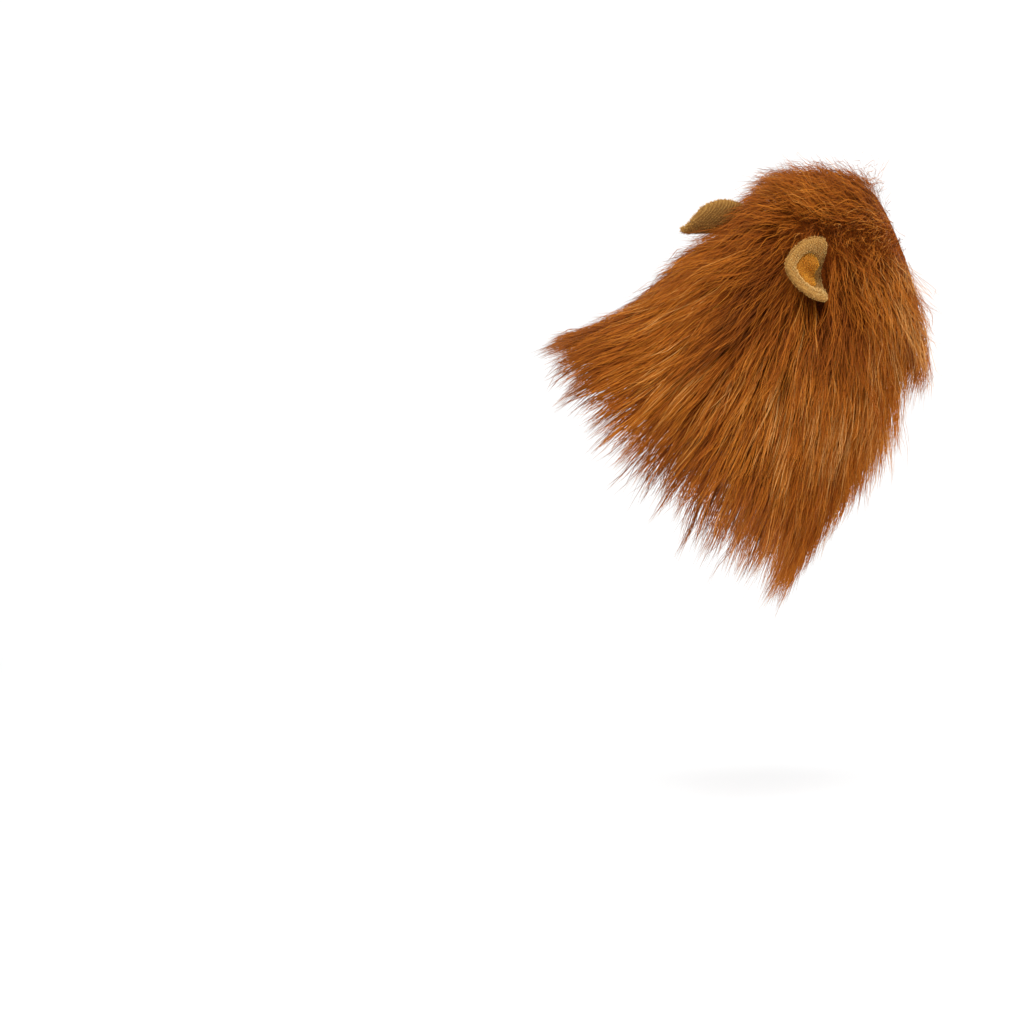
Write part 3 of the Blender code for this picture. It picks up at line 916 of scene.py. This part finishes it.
def lumps(around, along, out):
    """How far the undercoat's tufts stand up from its mean height."""
    tufted = np.sin(31 * around + 19 * along) * np.sin(37 * along - 11 * around)
    tufted = tufted + 0.6 * np.sin(71 * around - 53 * along)
    edge = np.clip(np.minimum(along, 1 - along) * 12, 0, 1)
    lower = (UNDERCOAT_EDGE - UNDERCOAT) * (1 - edge)
    return np.where(out > GAP, lower + 0.0009 * tufted, 0.0)


# The undercoat is the pile's short fur between the roots; its colour is darker than the hairs' as painted shade
# under them.
undercoat_finish, tree, shader = finish_of("undercoat_finish", 0.9, 0.1)
coords = tree.add("ShaderNodeTexCoord", out="Object")
fluff = tree.grain(coords, 420.0, 4.0)
patchy = tree.grain(coords, 45.0)
stops = ((0.25, (0.065, 0.011, 0.001)), (0.55, (0.24, 0.052, 0.004)), (0.85, (0.46, 0.130, 0.014)))
fluffy = tree.add("ShaderNodeValToRGB", {"stops": stops}, {0: fluff * 0.7 + patchy * 0.3})
tree.feed(shader.inputs["Base Color"], fluffy)
bump = {"Strength": 1.0, "Distance": 0.0015, "Height": fluff}
tree.feed(shader.inputs["Normal"], tree.add("ShaderNodeBump", {}, bump))
rows = np.linspace(0, 1, UNDERCOAT_ROWS)
section = [(along, GAP) for along in rows] + [(along, UNDERCOAT) for along in reversed(rows)]
undercoat = tube("mane_undercoat", section, UNDERCOAT_COLUMNS, lumps, undercoat_finish)
mane_pieces = [undercoat]

mane_hair = hair_finish(
    "mane_hair",
    (
        (0.0, (0.055, 0.008, 0.001)),
        (0.25, (0.19, 0.034, 0.002)),
        (0.5, (0.41, 0.095, 0.005)),
        (0.75, (0.66, 0.215, 0.018)),
        (1.0, (0.90, 0.500, 0.170)),
    ),
    root=(0.07, 0.011, 0.001),
    tip=(0.66, 0.22, 0.030),
    roughness=0.5,
)
ear_forms = bmesh.new()
for side in ("right", "left"):
    corners = {tuple(vertex.co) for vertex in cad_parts[f"{side}_ear_shell"].data.vertices}
    closed_ear = bmesh.ops.convex_hull(ear_forms, input=[ear_forms.verts.new(corner) for corner in corners])
    spare = [vertex for vertex in closed_ear["geom_interior"] if isinstance(vertex, bmesh.types.BMVert)]
    bmesh.ops.delete(ear_forms, geom=spare, context="VERTS")
ear_mesh = bpy.data.meshes.new("ear_forms")
ear_forms.to_mesh(ear_mesh)
ear_forms.free()
ear_form = put("ear_forms", ear_mesh)
ear_form.hide_render = True
long_hair = one_hair("long_hair", ((0.0, 0.8), (0.2, 1.0), (0.4, 1.0), (0.6, 0.92), (0.8, 0.74)))
cloth = pile_cloth()
cloth_area = sum(face.area for face in cloth.polygons)
pile = mane_tree()
for part, name in enumerate(MANE_PARTS):
    piece = grown(name, pile, cloth, {
        "Hair": long_hair,
        "Ears": ear_form,
        "Part": part,
        "Hair density": HAIRS / cloth_area,
        "Wisp density": WISPS / cloth_area,
        "Tuft density": TUFTS / cloth_area,
        "Thickness": HAIR_THICKNESS,
        "Material": mane_hair,
    })
    mane_pieces.append(piece)
for piece in mane_pieces:
    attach(piece, "root")
    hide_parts("mane_fur")
bpy.data.objects.remove(long_hair)
bpy.data.objects.remove(ear_form)

# Each ear is a padded cup of tan plush, sewn to the hood along its base, with a thick rolled rim and a short
# ribbed nap. A golden lining, folded over near the base, is sewn in behind the rim.
EAR_HEIGHT = 0.071
EAR_LENGTH = 0.094
EAR_CUP = 0.024
EAR_WALL = 0.0045
EAR_RIM = 0.0085
EAR_BAND = 0.013
LINING_WALL = 0.0016
EAR_CENTRE = 0.45
EAR_SEAT_SHARE = 0.02
EARS = (
    ("right_ear", 86, 0.345, 31, 1),
    ("left_ear", -4, 0.405, 53, -1),
)
EAR_FORM = (
    (0.00, 0.30, 1.30),
    (0.12, 0.66, 1.20),
    (0.35, 0.96, 1.05),
    (0.55, 1.00, 1.00),
    (0.80, 0.78, 0.90),
    (1.00, 0.06, 0.80),
)
EAR_COLUMNS = 80
RIM_POINTS = 11
BACK_PUFF = 0.0015
SEAM_DEPTH = 0.0012
SEAM_WIDTH = 0.0012
LINING_FOLDS = (
    (0.40, 0.36, 0.30, 0.24, 0.0100),
    (-0.52, 0.38, 0.22, 0.26, 0.0030),
)
NAP_LENGTH = 0.0023
NAP_THICKNESS = 0.0010
NAP_RIB = 0.0027
NAP_SLANT = math.radians(35)
SHELL_NAP = 5600
LINING_NAP = 1700


def ear_sheet(share, angle, offset):
    """Points on the ear's curved sheet, in its own frame. share runs from its centre to its outline."""
    edge_reach = underside(angle)
    edge_half = spline(EAR_FORM, edge_reach)[..., 0] * np.sign(np.round(np.sin(angle), 6))
    reach = EAR_CENTRE + (edge_reach - EAR_CENTRE) * share
    half = share * edge_half
    curl = spline(EAR_FORM, reach)[..., 1]
    curl_slope = (spline(EAR_FORM, reach + NUDGE)[..., 1] - curl) / NUDGE
    point = np.stack((half * EAR_HEIGHT / 2, reach * EAR_LENGTH, curl * EAR_CUP * half ** 2), -1)
    same = np.ones_like(half)
    over_half = np.stack((same * EAR_HEIGHT / 2, 0 * same, 2 * curl * EAR_CUP * half), -1)
    over_reach = np.stack((0 * same, same * EAR_LENGTH, curl_slope * EAR_CUP * half ** 2), -1)
    return point + unit(np.cross(over_half, over_reach)) * offset[..., None]


def ear_folds(share, angle, lip, side):
    """How far the lining's folds stand up."""
    local = ear_sheet(share, angle, np.zeros_like(share))
    half, reach = side * local[..., 0] / (EAR_HEIGHT / 2), local[..., 1] / EAR_LENGTH
    height = sum(
        lift * np.exp(-(((half - x) / wide) ** 2) - ((reach - y) / long) ** 2)
        for x, y, wide, long, lift in LINING_FOLDS
    )
    return height * (1 - np.clip(share / lip, 0, 1) ** 6)


def ear_skin(name, profile, raised, base, directions, skin):
    """A closed skin over the ear's sheet, from (share, offset) rows that start and end at its centre."""
    shares, offsets = np.array(profile).T
    angles = np.arange(EAR_COLUMNS) * math.tau / EAR_COLUMNS
    share, angle = np.meshgrid(shares, angles, indexing="ij")
    flat = offsets[:, None] * np.ones_like(share)
    # front runs from 0 over the ear's back to 1 at the front of its rim; the nap uses it for painted shade on the
    # back.
    front = np.clip(0.5 + flat / EAR_RIM, 0, 1)
    local = ear_sheet(share, angle, flat + raised(share, angle, flat))
    local, front = (np.concatenate((kept[0, :1], *kept[1:-1], kept[-1, :1])) for kept in (local, front))
    rings = len(profile) - 2
    faces = [tuple(index + 1 for index in face) for face in tube_faces(rings, EAR_COLUMNS, False)]
    last, end = 1 + (rings - 1) * EAR_COLUMNS, len(local) - 1
    for k in range(EAR_COLUMNS):
        m = (k + 1) % EAR_COLUMNS
        faces += [(0, 1 + m, 1 + k), (last + k, last + m, end)]
    mesh = bpy.data.meshes.new(name)
    mesh.from_pydata((base + local @ directions).tolist(), [], faces)
    set_attribute(mesh, "sheet", local, "FLOAT_VECTOR")
    set_attribute(mesh, "front", front)
    lean = unit(directions[1] * math.cos(NAP_SLANT) + directions[0] * math.sin(NAP_SLANT))
    set_attribute(mesh, "lean", np.repeat(lean[None], len(local), 0), "FLOAT_VECTOR")
    face_out(mesh)
    return put(name, mesh, skin)


def rib_wave(tree, sheet):
    """1 on the nap's slanted ribs, and 0 between them."""
    place = tree.add("ShaderNodeSeparateXYZ", {}, {"Vector": sheet})
    run = place * math.cos(NAP_SLANT) - place.other("Y") * math.sin(NAP_SLANT)
    return (run * (math.tau / NAP_RIB)).through("SINE") * 0.5 + 0.5


def plush_finish(name, shadow, plush):
    """The cloth under the nap."""
    made, tree, shader = finish_of(name, 0.9, 0.15)
    rib = rib_wave(tree, tree.add("ShaderNodeAttribute", {"attribute_name": "sheet"}, {}, "Vector"))
    fluff = tree.grain(tree.add("ShaderNodeTexCoord", out="Object"), 700.0)
    tree.feed(shader.inputs["Base Color"], tree.mix(rib * 0.5 + fluff * 0.5, shadow, plush))
    bump = {"Strength": 0.8, "Distance": 0.0006, "Height": rib * 0.6 + fluff * 0.4}
    tree.feed(shader.inputs["Normal"], tree.add("ShaderNodeBump", {}, bump))
    return made


def nap_tree():
    tree = GrowTree("ear_nap", (
        ("Hair", "OBJECT"),
        ("Density", "FLOAT"),
        ("Length", "FLOAT"),
        ("Thickness", "FLOAT"),
        ("Material", "MATERIAL"),
    ))
    nap = tree.scatter(tree.given("Density"), 31)
    nap = tree.keep(nap, "rise", nap.other("Normal"), "FLOAT_VECTOR")
    nap = tree.keep(nap, "root", tree.add("GeometryNodeInputPosition"), "FLOAT_VECTOR")
    rib = rib_wave(tree, tree.vector("sheet"))
    nap = tree.drop(nap, rib < tree.chance(-0.4, 0.75, 32))
    # Painted shade and light: the nap is darker over the ear's back and lighter towards the front of its rim; its
    # ribs are lighter and the rest varies at random.
    nap = keep_tone(tree, nap, 0.35 * tree.chance(0.0, 1.0, 33) + 0.20 * rib + 0.45 * tree.named("front"))
    nap = tree.keep(nap, "length", tree.given("Length") * tree.chance(0.65, 1.15, 34))
    nap = tree.keep(nap, "aside", tree.drift(tree.vector("root") * 3.0, 400.0), "FLOAT_VECTOR")
    grown_nap, form = tree.grow(nap, tree.given("Hair"))
    share = form.other("Z")
    rise, lean, length = tree.vector("rise"), tree.vector("lean"), tree.named("length")
    across = lean.through("CROSS_PRODUCT", rise).through("NORMALIZE")
    place = tree.vector("root") + rise * (length * share) + lean * (length * 0.55 * share ** 2.0)
    place = place + tree.vector("aside") * (length * 1.6 * share)
    thick = tree.given("Thickness") / 2.0
    place = place + across * (form * thick) + lean * (form.other("Y") * thick)
    grown_nap = tree.keep(grown_nap, "along", share)
    tree.close(map_tones(tree, grown_nap), place)
    return tree


def nap_finish(name, tones, root, tip):
    return hair_finish(name, tones, root, tip, 0.8)


tan_plush = plush_finish("tan_plush", (0.20, 0.085, 0.018), (0.52, 0.28, 0.070))
gold_plush = plush_finish("gold_plush", (0.20, 0.062, 0.005), (0.66, 0.27, 0.026))
tan_nap = nap_finish(
    "tan_nap",
    ((0.0, (0.23, 0.088, 0.016)), (0.5, (0.74, 0.40, 0.100)), (1.0, (1.00, 0.74, 0.31))),
    root=(0.30, 0.13, 0.03),
    tip=(0.95, 0.66, 0.27),
)
gold_nap = nap_finish(
    "gold_nap",
    ((0.0, (0.45, 0.145, 0.008)), (0.5, (0.88, 0.37, 0.030)), (1.0, (1.00, 0.58, 0.095))),
    root=(0.40, 0.13, 0.010),
    tip=(1.00, 0.50, 0.07),
)
nap_hair = one_hair("nap_hair", ((0.0, 1.0), (0.55, 0.8)))
napping = nap_tree()
lip = 1 - EAR_BAND / (EAR_HEIGHT / 2)
seam = SEAM_WIDTH / (EAR_HEIGHT / 2)
rim_middle, rim_half = (1 + lip) / 2, (1 - lip) / 2
shell_profile = [(0.0, -EAR_WALL), *((share, -EAR_WALL) for share in (0.16, 0.32, 0.46, 0.58))]
for k in range(RIM_POINTS):
    turn = math.radians(-100 + 265 * k / (RIM_POINTS - 1))
    shell_profile.append((rim_middle + rim_half * math.cos(turn), EAR_RIM / 2 * math.sin(turn)))
shell_profile += [(lip - seam / 2, -SEAM_DEPTH), (lip - 2 * seam, 0.0), (0.4, 0.0), (0.2, 0.0), (0.0, 0.0)]
lining_edge = lip - 2 * seam
lining_shares = [lining_edge * step / 9 for step in range(9)]
lining_profile = [(share, GAP + LINING_WALL) for share in lining_shares]
lining_profile += [(lining_edge - seam / 3, GAP + LINING_WALL), (lining_edge, GAP + LINING_WALL / 2)]
lining_profile += [(share, GAP) for share in reversed(lining_shares)]
for name, around, along, lean, side in EARS:
    around, along, lean = np.array(math.radians(around)), np.array(along), math.radians(lean)
    normal = outward(around, along)
    rear = np.array((0.0, 1.0, 0.0))
    rear = unit(rear - normal * dot(rear, normal))
    reach = normal * math.cos(lean) + rear * math.sin(lean)
    facing = normal * math.sin(lean) - rear * math.cos(lean)
    directions = np.array((np.cross(reach, facing), reach, facing))

    def puffed(share, angle, offset):
        return np.where(offset <= -EAR_WALL, -BACK_PUFF * (1 - (share / lip) ** 2), 0.0)

    def folded(share, angle, offset):
        return np.where(offset > GAP, ear_folds(share, angle, lip, side), 0.0)

    shell = ear_skin(name + "_plush", shell_profile, puffed, hood_point(around, along), directions, tan_plush)
    points = np.array([tuple(vertex.co) for vertex in shell.data.vertices])
    node_box = np.array(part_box(name + "_shell"))
    shift = node_box.mean(axis=0) - (points.min(axis=0) + points.max(axis=0)) / 2
    base = hood_point(around, along) + shift
    lining = ear_skin(name + "_inner", lining_profile, folded, base, directions, gold_plush)
    shell.data.vertices.foreach_set("co", (points + shift).ravel())
    shell.data.update()
    for piece, node, slot, finish, count in (
        (shell, "_shell", "ear_plush", tan_nap, SHELL_NAP),
        (lining, "_lining", "ear_lining", gold_nap, LINING_NAP),
    ):
        nap = grown(piece.name + "_nap", napping, piece.data.copy(), {
            "Hair": nap_hair,
            "Density": count / area_of(piece),
            "Length": NAP_LENGTH,
            "Thickness": NAP_THICKNESS,
            "Material": finish,
        })
        for made in (piece, nap):
            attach(made, "root")
            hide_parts(name + node)
bpy.data.objects.remove(nap_hair)
